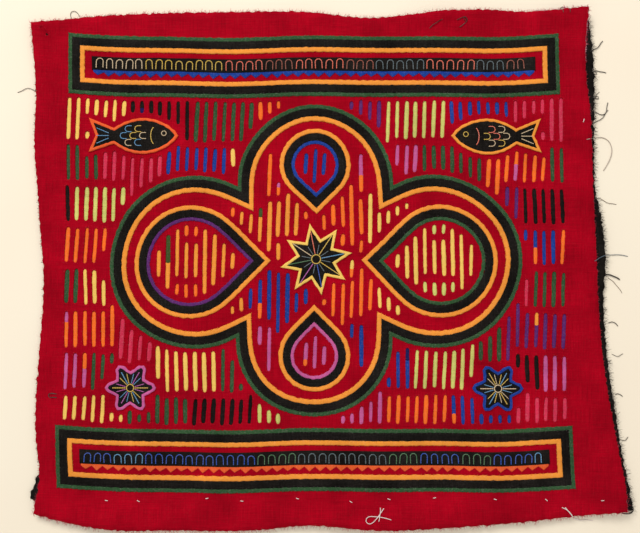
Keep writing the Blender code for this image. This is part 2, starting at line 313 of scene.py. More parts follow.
def red_height(points):
    """The red cloth's surface, with the creases and the puckers that sewing leaves."""
    return (
        read_height(red_map, points) + waves(points, 52, 0.24, 11) + waves(points, 19, 0.15, 12)
        + waves(points, 8, 0.06, 13) - crease_depth(points)
    )


def black_height(points):
    return read_height(black_map, points) + waves(points, 40, 0.12, 14)


def on_cloth(points, lift):
    """The points of the plane raised to a height over the red cloth."""
    points = np.asarray(points, float).reshape(-1, 2)
    return np.column_stack([points, red_height(points) + lift])


# Materials

class Shade:
    """A short way to build the nodes of one cloth or thread."""

    def __init__(self, name, roughness, sheen):
        self.material = bpy.data.materials.new(name)
        self.material.use_nodes = True
        self.tree = self.material.node_tree
        self.shader = self.tree.nodes["Principled BSDF"]
        self.shader.inputs["Roughness"].default_value = roughness
        self.shader.inputs["Sheen Weight"].default_value = sheen
        self.shader.inputs["Sheen Roughness"].default_value = 0.5
        self.shader.inputs["Specular IOR Level"].default_value = 0.03
        self.place = self.add("ShaderNodeTexCoord").outputs["Object"]

    def add(self, kind, **values):
        node = self.tree.nodes.new(kind)
        for name, value in values.items():
            setattr(node, name, value)
        return node

    def join(self, source, target):
        self.tree.links.new(source, target)

    def stretched(self, scale, turn=0.0):
        """The place on the cloth, scaled along each axis and turned."""
        mapping = self.add("ShaderNodeMapping")
        mapping.inputs["Scale"].default_value = scale
        mapping.inputs["Rotation"].default_value = (0, 0, turn)
        self.join(self.place, mapping.inputs["Vector"])
        return mapping.outputs["Vector"]

    def noise(self, scale, detail=2.0, vector=None):
        node = self.add("ShaderNodeTexNoise")
        node.inputs["Scale"].default_value = scale
        node.inputs["Detail"].default_value = detail
        self.join(self.place if vector is None else vector, node.inputs["Vector"])
        return node.outputs["Fac"]

    def ribs(self, direction, pitch, vector=None):
        """Parallel ridges, a pitch apart in metres."""
        node = self.add("ShaderNodeTexWave", wave_type="BANDS", bands_direction=direction)
        node.inputs["Scale"].default_value = math.tau / 20 / pitch
        node.inputs["Distortion"].default_value = 1.2
        node.inputs["Detail"].default_value = 1.0
        node.inputs["Detail Scale"].default_value = 0.6
        self.join(self.place if vector is None else vector, node.inputs["Vector"])
        return node.outputs["Fac"]

    def sum(self, operation, first, second):
        node = self.add("ShaderNodeMath", operation=operation)
        for socket, value in zip(node.inputs, (first, second)):
            if isinstance(value, (int, float)):
                socket.default_value = value
            else:
                self.join(value, socket)
        return node.outputs[0]

    def between(self, value, from_low, from_high, to_low, to_high):
        node = self.add("ShaderNodeMapRange")
        self.join(value, node.inputs["Value"])
        for name, number in (
            ("From Min", from_low), ("From Max", from_high),
            ("To Min", to_low), ("To Max", to_high),
        ):
            node.inputs[name].default_value = number
        return node.outputs["Result"]

    def colour(self, base, worn, amount, brightness):
        """A base colour that turns to a worn one in patches and varies in brightness."""
        mix = self.add("ShaderNodeMix", data_type="RGBA")
        mix.inputs["A"].default_value = (*base, 1)
        mix.inputs["B"].default_value = (*worn, 1)
        self.join(amount, mix.inputs["Factor"])
        scaled = self.add("ShaderNodeVectorMath", operation="SCALE")
        self.join(mix.outputs["Result"], scaled.inputs[0])
        self.join(brightness, scaled.inputs["Scale"])
        self.join(scaled.outputs[0], self.shader.inputs["Base Color"])

    def bump(self, height, strength, distance):
        node = self.add("ShaderNodeBump")
        node.inputs["Strength"].default_value = strength
        node.inputs["Distance"].default_value = distance
        self.join(height, node.inputs["Height"])
        self.join(node.outputs["Normal"], self.shader.inputs["Normal"])


def faded(colour, share):
    """The colour, washed out towards a dusty white by a share."""
    return tuple(c + (w - c) * share for c, w in zip(colour, (0.72, 0.62, 0.60)))


WEAVE_PITCH = 0.00042


def cotton(name, colour, fade=0.07, mottle=0.14):
    """Plain-woven cotton: crossed ribs with painted shade between them and painted light on their crests,
    uneven yarns and faded patches.
    """
    shade = Shade(name, 0.95, 0.0)
    weave = shade.sum("ADD", shade.ribs("X", WEAVE_PITCH), shade.ribs("Y", WEAVE_PITCH))
    upright = shade.noise(1.0, 3.0, shade.stretched((1900, 60, 1)))
    level = shade.noise(1.0, 3.0, shade.stretched((60, 1900, 1)))
    yarns = shade.sum("ADD", upright, level)
    patches = shade.noise(38.0, 4.0)
    specks = shade.noise(900.0, 3.0)
    brightness = shade.sum(
        "MULTIPLY",
        shade.between(patches, 0.3, 0.7, 1 - mottle, 1 + mottle),
        shade.between(yarns, 0.75, 1.25, 1 - mottle, 1 + mottle),
    )
    # The weave also sets the brightness: painted shade between the yarns and a painted highlight on their
    # crests.
    brightness = shade.sum("MULTIPLY", brightness, shade.between(weave, 0, 2, 0.80, 1.12))
    shade.colour(
        colour, faded(colour, 0.5), shade.between(specks, 0.5, 0.85, 0, 4 * fade), brightness
    )
    height = shade.sum("ADD", weave, shade.between(yarns, 0.7, 1.3, 0, 2.2))
    shade.bump(height, 0.55, 0.00010)
    return shade.material


def thread(name, colour, sheen=0.18):
    """Sewing or embroidery thread: fine slanting ridges of its twist, with painted shade in their grooves.
    """
    shade = Shade(name, 0.7, sheen)
    twist = shade.ribs("X", 0.00035, shade.stretched((1, 1, 1), math.radians(38)))
    patches = shade.noise(260.0, 2.0)
    # The twist also sets the brightness: painted shade in its grooves and a painted highlight on its
    # ridges.
    shade.colour(
        colour, faded(colour, 0.35), shade.between(patches, 0.35, 0.8, 0, 0.4),
        shade.between(twist, 0, 1, 0.80, 1.12),
    )
    shade.bump(twist, 0.5, 0.00008)
    return shade.material


# Pieces

def unit(vectors):
    """The vectors at length one, and those of no length as they are."""
    return vectors / np.maximum(np.linalg.norm(vectors, axis=-1, keepdims=True), 1e-9)


class Heap:
    """The points and faces of one piece, gathered in millimetres."""

    def __init__(self):
        self.points = []
        self.faces = []
        self.count = 0

    def add(self, points, *faces):
        """More points, and arrays of triangles or quads between them."""
        points = np.asarray(points, float)
        self.points.append(points)
        self.faces += [np.asarray(group, int) + self.count for group in faces if len(group)]
        self.count += len(points)

    def grid(self, rows, closed_rows=False, closed_columns=False):
        """Quads between rows of as many points each."""
        height, width = len(rows), len(rows[0])
        corner = np.arange(height * width).reshape(height, width)
        if closed_rows:
            corner = np.vstack([corner, corner[:1]])
        if closed_columns:
            corner = np.hstack([corner, corner[:, :1]])
        quads = np.stack([corner[:-1, :-1], corner[:-1, 1:], corner[1:, 1:], corner[1:, :-1]], -1)
        self.add(np.concatenate(rows), quads.reshape(-1, 4))

    def lid(self, ring, upwards):
        """A slender closed ring covered by quads and two triangles across it."""
        size = len(ring)
        left = np.arange(1, (size - 1) // 2)
        right = size - left
        quads = np.stack([left, left + 1, right - 1, right], -1)
        last = left[-1] + 1
        ends = [(0, 1, size - 1)]
        if size - last - last > 1:
            ends.append((last, last + 1, size - last))
        if not upwards:
            quads = quads[:, ::-1]
            ends = [end[::-1] for end in ends]
        self.add(ring, quads, ends)

    def tubes(self, paths, radii, sides=5):
        """Round threads along paths of as many points each, closed by a point at each end."""
        paths = np.asarray(paths, float)
        if paths.ndim == 2:
            paths = paths[None]
        count, steps = paths.shape[:2]
        radii = np.broadcast_to(np.asarray(radii, float), (count, steps))
        ahead = unit(np.gradient(paths, axis=1))
        aside = unit(np.stack([ahead[..., 1], -ahead[..., 0], np.zeros((count, steps))], -1))
        upwards = np.cross(aside, ahead)
        turns = np.arange(sides) / sides * math.tau
        ring = aside[:, :, None] * np.cos(turns)[:, None] + upwards[:, :, None] * np.sin(turns)[:, None]
        sleeves = paths[:, :, None] + ring * radii[:, :, None, None]
        first = paths[:, :1] - ahead[:, :1] * radii[:, :1, None] * 0.6
        last = paths[:, -1:] + ahead[:, -1:] * radii[:, -1:, None] * 0.6
        points = np.concatenate([sleeves.reshape(count, -1, 3), first, last], 1)
        size = points.shape[1]
        corner = np.arange(steps * sides).reshape(steps, sides)
        beside = np.roll(corner, -1, 1)
        quads = np.stack([corner[:-1], corner[1:], beside[1:], beside[:-1]], -1).reshape(-1, 4)
        start = np.full(sides, size - 2)
        end = np.full(sides, size - 1)
        caps = np.concatenate([
            np.stack([start, corner[0], beside[0]], 1), np.stack([end, beside[-1], corner[-1]], 1)
        ])
        shifts = np.arange(count)[:, None, None] * size
        self.add(
            points.reshape(-1, 3),
            (quads[None] + shifts).reshape(-1, 4), (caps[None] + shifts).reshape(-1, 3),
        )

    def piece(self, name, material, slot, *nodes):
        """The heap as one object, which rides on the panel and may stand for CAD nodes.

        Points in the same place become one, so that parts that meet are joined.
        """
        mesh = bpy.data.meshes.new(name)
        points = np.concatenate(self.points)
        _, kept, places = np.unique(points.round(4), axis=0, return_index=True, return_inverse=True)
        corners = places.ravel()[np.concatenate([group.ravel() for group in self.faces])]
        sizes = np.concatenate([np.full(len(group), group.shape[1]) for group in self.faces])
        mesh.vertices.add(len(kept))
        mesh.vertices.foreach_set("co", (points[kept] * MM).ravel())
        mesh.loops.add(len(corners))
        mesh.loops.foreach_set("vertex_index", corners)
        mesh.polygons.add(len(sizes))
        mesh.polygons.foreach_set("loop_start", np.cumsum(sizes) - sizes)
        mesh.update(calc_edges=True)
        mesh.validate()
        mesh.materials.append(material)
        mesh.shade_smooth()
        obj = bpy.data.objects.new(name, mesh)
        bpy.context.scene.collection.objects.link(obj)
        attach(obj, "root")
        if nodes:
            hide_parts(*nodes)
        return obj


# Bands: strips of folded cloth, sewn down along both edges

BAND_STEP = 1.3

# How far above the red cloth a sewn piece starts
SEAT = 0.02
EDGE_STITCH_PITCH = 3.1
EDGE_STITCH_RADIUS = 0.13

# Place across the strip, from 0 at its outer edge to 1, and share of its height
ProfilePoint = namedtuple("ProfilePoint", "across share")
STRIP_PROFILE = (
    ProfilePoint(0.02, -0.2), ProfilePoint(-0.03, 0.35), ProfilePoint(0.05, 0.80),
    ProfilePoint(0.22, 0.97), ProfilePoint(0.5, 1.0), ProfilePoint(0.78, 0.97),
    ProfilePoint(0.95, 0.80), ProfilePoint(1.03, 0.35), ProfilePoint(0.98, -0.2),
)


def add_strip(heap, outer, inner, height, lift, seed):
    """A soft raised strip between two closed outlines that run side by side."""
    count = len(outer)
    length = lengths_along(outer).sum()
    width = np.linalg.norm(inner - outer, axis=1)[:, None]
    across = (inner - outer) / width
    outer = outer + across * wander(count, length, 6, 0.16, seed)[:, None]
    inner = inner + across * wander(count, length, 6, 0.16, seed + 1)[:, None]
    swell = 1 + wander(count, length, 4, 0.10, seed + 2)
    rows = []
    for place in STRIP_PROFILE:
        flat = outer + (inner - outer) * place.across
        rows.append(on_cloth(flat, lift + height * place.share * swell))
    heap.grid(rows, closed_rows=True, closed_columns=True)


def add_edge_stitches(heap, line, inward, height, seed):
    """Small stitches over the edge of a band or patch, slanted as they are sewn."""
    source = np.random.default_rng(seed)
    travelled = np.cumsum(lengths_along(line))
    count = int(travelled[-1] / EDGE_STITCH_PITCH)
    spots = (np.arange(count) + source.uniform(-0.25, 0.25, count)) * EDGE_STITCH_PITCH
    chosen = np.searchsorted(travelled, spots) % len(line)
    middle, way = line[chosen], inward[chosen]
    along = np.stack([way[:, 1], -way[:, 0]], 1) * source.uniform(0.15, 0.6, count)[:, None]
    reach_in = source.uniform(0.5, 0.8, count)[:, None]
    reach_out = source.uniform(0.35, 0.55, count)[:, None]
    first, last = middle + way * reach_in + along, middle - way * reach_out - along
    flat = np.stack([first, middle + way * 0.1, last], 1)
    paths = on_cloth(flat, 0).reshape(count, 3, 3)
    paths[:, :, 2] += (height * 0.86, height * 0.92 + EDGE_STITCH_RADIUS, 0.02)
    heap.tubes(paths, EDGE_STITCH_RADIUS, 4)


def distances_to(points, outline):
    """The distance from each point to the closed outline."""
    nearest = np.full(len(points), np.inf)
    for start, end in zip(outline, np.roll(outline, -1, 0)):
        side = end - start
        share = np.clip((points - start) @ side / (side @ side), 0, 1)
        nearest = np.minimum(nearest, np.linalg.norm(points - start - share[:, None] * side, axis=1))
    return nearest


def ring_outlines(node):
    """The outer and inner outline of a band node, point by point side by side."""
    outer, inner = outlines(node)[:2]
    width = float(np.median(distances_to(inner, outer)))
    return side_by_side(outer, (0, width), BAND_STEP)


BAND_HEIGHTS = {"green": 0.55, "black": 0.95, "orange": 0.70, "blue": 0.6, "purple": 0.6, "lilac": 0.6}

# How far a band reaches past its outer and inner edge, to tuck under or over the next one
BAND_TUCKS = {
    "green": (0.0, 0.35), "black": (0.1, 0.1), "orange": (0.3, 0.0),
    "blue": (0.3, 0.0), "purple": (0.3, 0.0), "lilac": (0.3, 0.0),
}


def make_band(node, colour, material, stitch_heap):
    outer, inner = ring_outlines(node)
    width = np.linalg.norm(inner - outer, axis=1)[:, None]
    across = (inner - outer) / width
    out_tuck, in_tuck = BAND_TUCKS[colour]
    heap = Heap()
    seed = sum(map(ord, node))
    height = BAND_HEIGHTS[colour]
    add_strip(heap, outer - across * out_tuck, inner + across * in_tuck, height, SEAT, seed)
    add_edge_stitches(stitch_heap, outer, across, height, seed + 5)
    add_edge_stitches(stitch_heap, inner, -across, height, seed + 6)
    heap.piece(f"{node}_strip", material, f"{colour}_cotton", node)


# Patches: flat pieces of cloth with their edges folded under

PATCH_STEP = 1.4

# The rings of a patch's folded edge: how far inside its outline, and share of its height
PatchRim = namedtuple("PatchRim", "inset share")
PATCH_RIMS = (PatchRim(0.0, -0.15), PatchRim(-0.05, 0.35), PatchRim(0.18, 0.80), PatchRim(0.55, 0.97))


def add_patch(heap, outline, height, lift, grid_step=3.0):
    """A flat piece of cloth inside a coarse outline, rounded at its folded edge."""
    curves = side_by_side(outline, [rim.inset for rim in PATCH_RIMS], PATCH_STEP)
    rows = [
        on_cloth(curve, lift + height * rim.share) for curve, rim in zip(curves, PATCH_RIMS)
    ]
    heap.grid(rows, closed_columns=True)
    edge = curves[-1]
    low, high = edge.min(0), edge.max(0)
    xs = np.arange(low[0] + grid_step / 2, high[0], grid_step)
    ys = np.arange(low[1] + grid_step / 2, high[1], grid_step)
    inner = np.array([(x, y) for x in xs for y in ys]).reshape(-1, 2)
    if len(inner):
        inner = inner[is_within(inner, edge) & (distances_to(inner, edge) > 0.9)]
    flat, faces, _ = fill(edge, inner)
    top = on_cloth(flat, lift + height)
    top[:, 2] += waves(flat, 6.5, 0.07, 21)
    top[:len(edge), 2] = rows[-1][:, 2]
    heap.add(top, faces)
    bottom, faces, _ = fill(curves[0], np.empty((0, 2)))
    heap.add(on_cloth(bottom, lift - 0.15 * height), faces[:, ::-1])


def fill(outline, inner, cuts=()):
    """Triangles inside an outline, with inner points and the outlines of cuts as their corners.

    The last result has the number of the cut that each corner lies on, or -1.
    """
    points = np.vstack([outline, inner, *cuts])
    start = len(outline) + len(inner)
    owners = [-1] * start
    edges = []
    for number, cut in enumerate(cuts):
        edges += [(start + k, start + (k + 1) % len(cut)) for k in range(len(cut))]
        owners += [number] * len(cut)
        start += len(cut)
    face = [list(range(len(outline)))]
    vectors = [Vector(point) for point in points]
    corners, _, triangles, sources, *_ = delaunay_2d_cdt(vectors, edges, face, 1, 1e-5)
    flat = np.array([points[source[0]] if source else place for source, place in zip(sources, corners)])
    corner_owners = np.array([owners[source[0]] if source else -1 for source in sources])
    return flat, np.array(triangles), corner_owners


# Threads for embroidery

def chain_stitch(heap, path, radius, lift):
    """A line of chain stitch: a thread that swells once a stitch."""
    path = np.asarray(path, float)
    reach = np.concatenate([[0], np.cumsum(np.linalg.norm(np.diff(path, axis=0), axis=1))])
    count = max(4, int(reach[-1] / 0.45))
    spots = np.linspace(0, reach[-1], count)
    flat = np.column_stack([np.interp(spots, reach, path[:, k]) for k in (0, 1)])
    swell = np.sin(spots / 1.7 * math.tau)
    line = on_cloth(flat, lift)
    line[:, 2] += 0.05 * swell
    heap.tubes(line, radius * (1 + 0.2 * swell), 5)


def arch_path(foot, width, height, lean):
    """An arch that stands on the foot point, as a list of points."""
    shape = []
    straight = height - width / 2
    for side in (0.0, 0.5, 1.0):
        shape.append((-width / 2, straight * side))
    for k in range(1, 8):
        turn = math.pi * (1 - k / 8)
        shape.append((width / 2 * math.cos(turn), straight + width / 2 * math.sin(turn)))
    for side in (1.0, 0.5, 0.0):
        shape.append((width / 2, straight * side))
    return [(foot[0] + x + lean * y, foot[1] + y) for x, y in shape]


def ring_path(middle, radius):
    turns = np.linspace(0, math.tau, 25)
    return [(middle[0] + radius * math.cos(t), middle[1] + radius * math.sin(t)) for t in turns]


THREAD_COLOURS = {
    "cream": (0.62, 0.48, 0.30), "slate": (0.09, 0.13, 0.15), "gold": (0.62, 0.42, 0.07),
    "clay": (0.30, 0.09, 0.06), "sky": (0.10, 0.28, 0.50), "leaf": (0.06, 0.16, 0.07),
    "coral": (0.75, 0.16, 0.10), "orchid": (0.42, 0.09, 0.36), "cobalt": (0.02, 0.08, 0.42),
}
threads = {name: Heap() for name in THREAD_COLOURS}
ARCH_RADIUS = 0.33


# The cloths that are sewn on

cottons = {
    "red": cotton("red_cotton_cloth", RED, 0.004, 0.19),
    "black": cotton("black_cotton_cloth", BLACK, 0.010, 0.40),
    "green": cotton("green_cotton_cloth", GREEN),
    "orange": cotton("orange_cotton_cloth", ORANGE, 0.05, 0.08),
    "vermilion": cotton("vermilion_cotton_cloth", VERMILION, 0.05, 0.10),
    "yellow": cotton("yellow_cotton_cloth", YELLOW, 0.05, 0.08),
    "lime": cotton("lime_cotton_cloth", LIME),
    "blue": cotton("blue_cotton_cloth", BLUE, 0.05),
    "navy": cotton("navy_cotton_cloth", NAVY, 0.04),
    "purple": cotton("purple_cotton_cloth", PURPLE, 0.05),
    "lilac": cotton("lilac_cotton_cloth", LILAC),
    "rose": cotton("rose_cotton_cloth", ROSE),
    "moss": cotton("moss_cotton_cloth", MOSS, 0.05),
    "flame": cotton("flame_cotton_cloth", FLAME, 0.05, 0.10),
}
edge_stitches = {name: Heap() for name in ("green", "black", "orange", "blue", "purple", "lilac")}

BANDED = {
    "lower_frame": ("green", "black", "orange"),
    "upper_frame": ("green", "black", "orange"),
    "medallion": ("green", "black", "orange"),
    "petal_right": ("orange", "black", "green"),
    "petal_upper": ("orange", "black", "blue"),
    "petal_left": ("orange", "black", "purple"),
    "petal_lower": ("orange", "black", "lilac"),
}
for group, colours in BANDED.items():
    for colour in colours:
        make_band(f"{group}_{colour}", colour, cottons[colour], edge_stitches[colour])

BAR_LIFT = 0.85
TOOTH_PITCH = 7.6
TOOTH_HEIGHT = 4.3
TOOTH_SPINE = 1.3
TOOTH_THICKNESS = 0.5
FIRST_ARCH = 5.0
LAST_ARCH = 4.0

# The slot that each colour of cotton belongs to
SLOT_OF = {
    "red": "red", "black": "black", "green": "green", "orange": "orange", "blue": "blue",
    "purple": "purple", "lilac": "lilac", "vermilion": "orange", "yellow": "orange",
    "lime": "green", "navy": "blue", "rose": "red", "moss": "green", "flame": "orange",
}


def bar_line(node):
    """Points along the middle of a bar, from left to right, and half its height."""
    outline = outlines(node)[0]
    low, high = outline.min(0), outline.max(0)
    stations = np.linspace(low[0] + 1.0, high[0] - 1.0, 60)
    closed = np.vstack([outline, outline[:1]])
    lower, upper = [], []
    for x in stations:
        crossings = []
        for (ax, ay), (bx, by) in zip(closed, closed[1:]):
            if (ax > x) != (bx > x):
                crossings.append(ay + (x - ax) / (bx - ax) * (by - ay))
        lower.append(min(crossings))
        upper.append(max(crossings))
    return stations, np.array(lower), np.array(upper)


def make_bar(node, teeth_colour, arch_colours, seed):
    """A black bar with embroidered arches, and a sawtooth strip along its lower edge."""
    source = random.Random(seed)
    heap = Heap()
    add_patch(heap, outlines(node)[0], BAR_LIFT, SEAT)
    heap.piece(f"{node}_cloth", cottons["black"], "black_cotton", node)
    stations, lower, upper = bar_line(node)
    left, right = stations[0], stations[-1]
    count = round((right - left) / TOOTH_PITCH)
    pitch = (right - left) / count
    zigzag = [(left, 0.6)]
    for k in range(count):
        depth = TOOTH_HEIGHT * source.uniform(0.86, 1.08)
        slip = source.uniform(-0.4, 0.4)
        zigzag.append((left + k * pitch + 0.3, -TOOTH_SPINE + source.uniform(-0.2, 0.2)))
        zigzag.append((left + (k + 0.5) * pitch + slip, -depth))
    zigzag += [(right, -TOOTH_SPINE), (right, 0.6)]
    outline = np.array([(x, y + np.interp(x, stations, lower)) for x, y in zigzag])
    teeth = Heap()
    add_patch(teeth, outline, TOOTH_THICKNESS, SEAT)
    teeth.piece(f"{node}_teeth", cottons[teeth_colour], f"{SLOT_OF[teeth_colour]}_cotton")
    x = left + FIRST_ARCH
    while x < right - LAST_ARCH:
        run = source.choice(arch_colours)
        for _ in range(source.randint(3, 5)):
            if x > right - LAST_ARCH:
                break
            foot = (x, np.interp(x, stations, lower) + source.uniform(1.3, 1.8))
            room = np.interp(x, stations, upper) - foot[1]
            height = min(room - 1.2, source.uniform(6.2, 7.1))
            path = arch_path(foot, source.uniform(4.3, 5.0), height, source.uniform(-0.07, 0.07))
            chain_stitch(threads[run], path, ARCH_RADIUS, BAR_LIFT + 0.22)
            x += source.uniform(6.9, 7.7)


make_bar("upper_frame_bar", "blue", ("cream", "slate", "gold", "clay", "slate", "coral"), 31)
make_bar("lower_frame_bar", "vermilion", ("sky", "slate", "gold", "orchid", "leaf", "cobalt"), 32)


# Motifs: black cloth with a narrow coloured edge and embroidery

EDGE_WIDTH = 2.0
EDGING_HEIGHT = 0.95
MOTIF_HEIGHT = 0.75
MOTIF_LIFT = 0.95


def make_motif(node, edge_colour, seed):
    """The black patch and its coloured edge."""
    outline = outlines(node)[0]
    body = Heap()
    add_patch(body, inset(outline, EDGE_WIDTH * 0.75), MOTIF_HEIGHT, SEAT)
    body.piece(f"{node}_cloth", cottons["black"], "black_cotton", node)
    edge = Heap()
    add_strip(edge, *side_by_side(outline, (0, EDGE_WIDTH), BAND_STEP), EDGING_HEIGHT, SEAT, seed)
    edge.piece(f"{node}_edging", cottons[edge_colour], f"{SLOT_OF[edge_colour]}_cotton")


def middle_of(node):
    low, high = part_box(node)
    return ((low + high) / 2 / MM).xy


def sew(colour, path, radius=ARCH_RADIUS, lift=MOTIF_LIFT):
    chain_stitch(threads[colour], path, radius, lift)


def spoke(middle, turn, start, end):
    way = (math.cos(turn), math.sin(turn))
    return [(middle[0] + way[0] * r, middle[1] + way[1] * r) for r in (start, end)]


STAR_RAY_START = 4.0
STAR_LONG_RAY = 20.0
STAR_SHORT_RAY = 10.5


def embroider_star():
    middle = middle_of("star")
    ray_colours = ("sky", "gold", "coral", "cream", "leaf", "orchid", "cobalt", "gold")
    for k in range(8):
        turn = math.pi * (k + 0.25) / 4
        sew(ray_colours[k], spoke(middle, turn, STAR_RAY_START, STAR_LONG_RAY), 0.36)
        sew("slate", spoke(middle, turn + math.pi / 8, STAR_RAY_START, STAR_SHORT_RAY), 0.30)
    sew("gold", ring_path(middle, 3.2), 0.40)


GILL_TURNS = np.linspace(-1.2, 1.2, 9)

# The rows of a fish's scales, with the places of their scales along it
SCALE_ROWS = ((0, (-9, -2, 5)), (-1, (-5.5, 1.5)), (1, (-5.5, 1.5)))
SCALE_ROW_PITCH = 5.0


def embroider_fish(node, side, colours):
    """An eye, a gill, scales in three rows and rays on the tail."""
    x, y = middle_of(node)
    sew(colours[0], ring_path((x - side * 22, y + 1.6), 1.7), 0.3)
    gill = [(x - side * (15.5 - 3 * math.cos(t)), y + 6.4 * math.sin(t)) for t in GILL_TURNS]
    sew(colours[1], gill)
    for row, spots in SCALE_ROWS:
        level = y + row * SCALE_ROW_PITCH
        for k, spot in enumerate(spots):
            foot = (x + side * spot, level - 2.4)
            path = arch_path(foot, 4.4, 4.6, 0.0)
            turned = [(foot[0] + side * (py - foot[1]), level + (px - foot[0])) for px, py in path]
            sew(colours[(k + row) % len(colours)], turned, 0.3)
    for rise in (-5.5, 0.0, 5.5):
        sew(colours[2], [(x + side * 18, y + rise * 0.35), (x + side * 26.5, y + rise)], 0.3)


FLOWER_RAY_START = 3.4
FLOWER_LONG_RAY = 12.6
FLOWER_SHORT_RAY = 10.2
FLOWER_RAY_TURN = 0.28


def embroider_flower(node, colours):
    middle = middle_of(node)
    for k in range(6):
        turn = math.tau * k / 6
        sew(colours[k % len(colours)], spoke(middle, turn, FLOWER_RAY_START, FLOWER_LONG_RAY), 0.34)
        for aside in (FLOWER_RAY_TURN, -FLOWER_RAY_TURN):
            ray = spoke(middle, turn + aside, FLOWER_RAY_START, FLOWER_SHORT_RAY)
            sew(colours[(k + 1) % len(colours)], ray, 0.27)
    sew(colours[0], ring_path(middle, 2.6), 0.38)


make_motif("star", "yellow", 41)
make_motif("left_fish", "vermilion", 42)
make_motif("right_fish", "orange", 43)
make_motif("left_flower", "lilac", 44)
make_motif("right_flower", "blue", 45)
embroider_star()
embroider_fish("left_fish", -1, ("cream", "gold", "sky"))
embroider_fish("right_fish", 1, ("gold", "coral", "cream"))
embroider_flower("left_flower", ("gold", "orchid", "sky"))
embroider_flower("right_flower", ("cream", "sky", "gold"))


# Slots: where they may be cut

# The field is the ground between the frames' outer corners. Slots keep clear of what is sewn on.
CELL = 0.5
CLEARANCE = 3.0
FIELD_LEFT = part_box("lower_frame_green")[0].x / MM
FIELD_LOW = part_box("lower_frame_green")[0].y / MM
FIELD_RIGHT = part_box("lower_frame_green")[1].x / MM
FIELD_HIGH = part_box("upper_frame_green")[1].y / MM
FIELD_ROWS = int((FIELD_HIGH - FIELD_LOW) / CELL)
FIELD_COLUMNS = int((FIELD_RIGHT - FIELD_LEFT) / CELL)


def cells_within(outline):
    """The cells of the field that lie inside a closed outline."""
    cells = np.zeros((FIELD_ROWS, FIELD_COLUMNS), bool)
    ends = np.roll(outline, -1, 0)
    for row in range(FIELD_ROWS):
        y = FIELD_LOW + row * CELL
        crossed = (outline[:, 1] > y) != (ends[:, 1] > y)
        if not crossed.any():
            continue
        (ax, ay), (bx, by) = outline[crossed].T, ends[crossed].T
        crossings = np.sort(ax + (y - ay) / (by - ay) * (bx - ax))
        columns = np.clip((crossings - FIELD_LEFT) / CELL, 0, FIELD_COLUMNS).astype(int)
        for start, end in zip(columns[::2], columns[1::2]):
            cells[row, start:end] = True
    return cells


def occupied_cells():
    """The cells where something is sewn on, or close to it."""
    taken = np.zeros((FIELD_ROWS, FIELD_COLUMNS), bool)
    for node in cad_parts:
        if node in ("top_cloth", "backing_cloth"):
            continue
        loops = outlines(node)
        solid = cells_within(loops[0])
        if not node.endswith("frame_green"):
            for hole in loops[1:]:
                solid &= ~cells_within(hole)
        taken |= solid
    reach = int(CLEARANCE / CELL)
    grown = taken.copy()
    for down in range(-reach, reach + 1):
        for aside in range(-reach, reach + 1):
            if down * down + aside * aside <= reach * reach:
                grown |= np.roll(taken, (down, aside), (0, 1))
    return grown


PETAL_INNER = {"right": "green", "upper": "blue", "left": "purple", "lower": "lilac"}
ZONES = ("ground", "medallion", *(f"petal_{side}" for side in PETAL_INNER))


def zone_cells():
    """The number of each free cell's zone, and -1 where nothing may be cut."""
    zones = np.zeros((FIELD_ROWS, FIELD_COLUMNS), int)
    zones[cells_within(outlines("medallion_orange")[1])] = 1
    for number, (side, colour) in enumerate(PETAL_INNER.items(), 2):
        zones[cells_within(outlines(f"petal_{side}_{colour}")[1])] = number
    zones[occupied_cells()] = -1
    return zones


zones = zone_cells()


def zone_at(x, y):
    column, row = int((x - FIELD_LEFT) / CELL), int((y - FIELD_LOW) / CELL)
    if not (0 <= column < FIELD_COLUMNS and 0 <= row < FIELD_ROWS):
        return -1
    return zones[row, column]


# Slots: how they are laid out, in rows that the bands and motifs interrupt

Slot = namedtuple("Slot", "low_x low_y high_x high_y half_width colour")
SLOT_PITCH = 6.6
ROW_PITCH = 30.0
ROW_GAP = 3.9
SHORTEST_SLOT = 4.5
SHORTEST_REST = 9.0
RUN_LENGTH = 7
FIELD_MARGIN = 9.0
LONGEST_LEAN = 20.0

# Half the width that a slot needs, and half the width that it has
SLOT_ROOM = 1.9
HALF_WIDTHS = (1.35, 1.75)

# How far the rows drift up and down, and how far along the field
ROW_DRIFT = 1.3
DRIFT_LENGTH = 43.0

# The number of the row at the middle of the design, for the rows inside the bands
MIDDLE_ROW = 4.5

# How far the slots of a run lean to the right, as a share of their length
LEANS = (0.055, 0.0, 0.07, -0.02, 0.03, 0.05, -0.04, 0.02)
COLOURS_BY_ZONE = {
    "ground": (
        ("yellow", "black", "green", "flame", "purple", "lime", "blue", "rose"),
        ("green", "rose", "blue", "yellow", "black", "lilac", "green", "flame"),
        ("black", "lime", "rose", "green", "flame", "blue", "yellow", "purple"),
        ("blue", "flame", "green", "lilac", "lime", "rose", "black", "green"),
        ("rose", "green", "yellow", "black", "rose", "flame", "purple", "lime"),
        ("green", "purple", "flame", "rose", "blue", "yellow", "green", "black"),
        ("lime", "black", "lilac", "green", "yellow", "green", "rose", "blue"),
        ("flame", "blue", "rose", "yellow", "green", "black", "lime", "lilac"),
    ),
    "medallion": (
        ("flame", "orange", "flame", "lilac"), ("orange", "blue", "flame", "yellow"),
        ("flame", "lilac", "orange", "blue"), ("orange", "flame", "yellow", "flame"),
    ),
    "petal_right": (("yellow",), ("lime",)),
    "petal_upper": (("blue",), ("flame",)),
    "petal_left": (("orange",), ("flame",)),
    "petal_lower": (("lilac",), ("yellow",)),
}
GROUND_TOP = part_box("upper_frame_green")[0].y / MM - CLEARANCE


def row_at(zone, y):
    """The number of the row of slots that a height lies in, from the top, with its share."""
    if zone == "ground":
        return (GROUND_TOP - y) / ROW_PITCH
    return (DESIGN_Y - y) / ROW_PITCH + MIDDLE_ROW


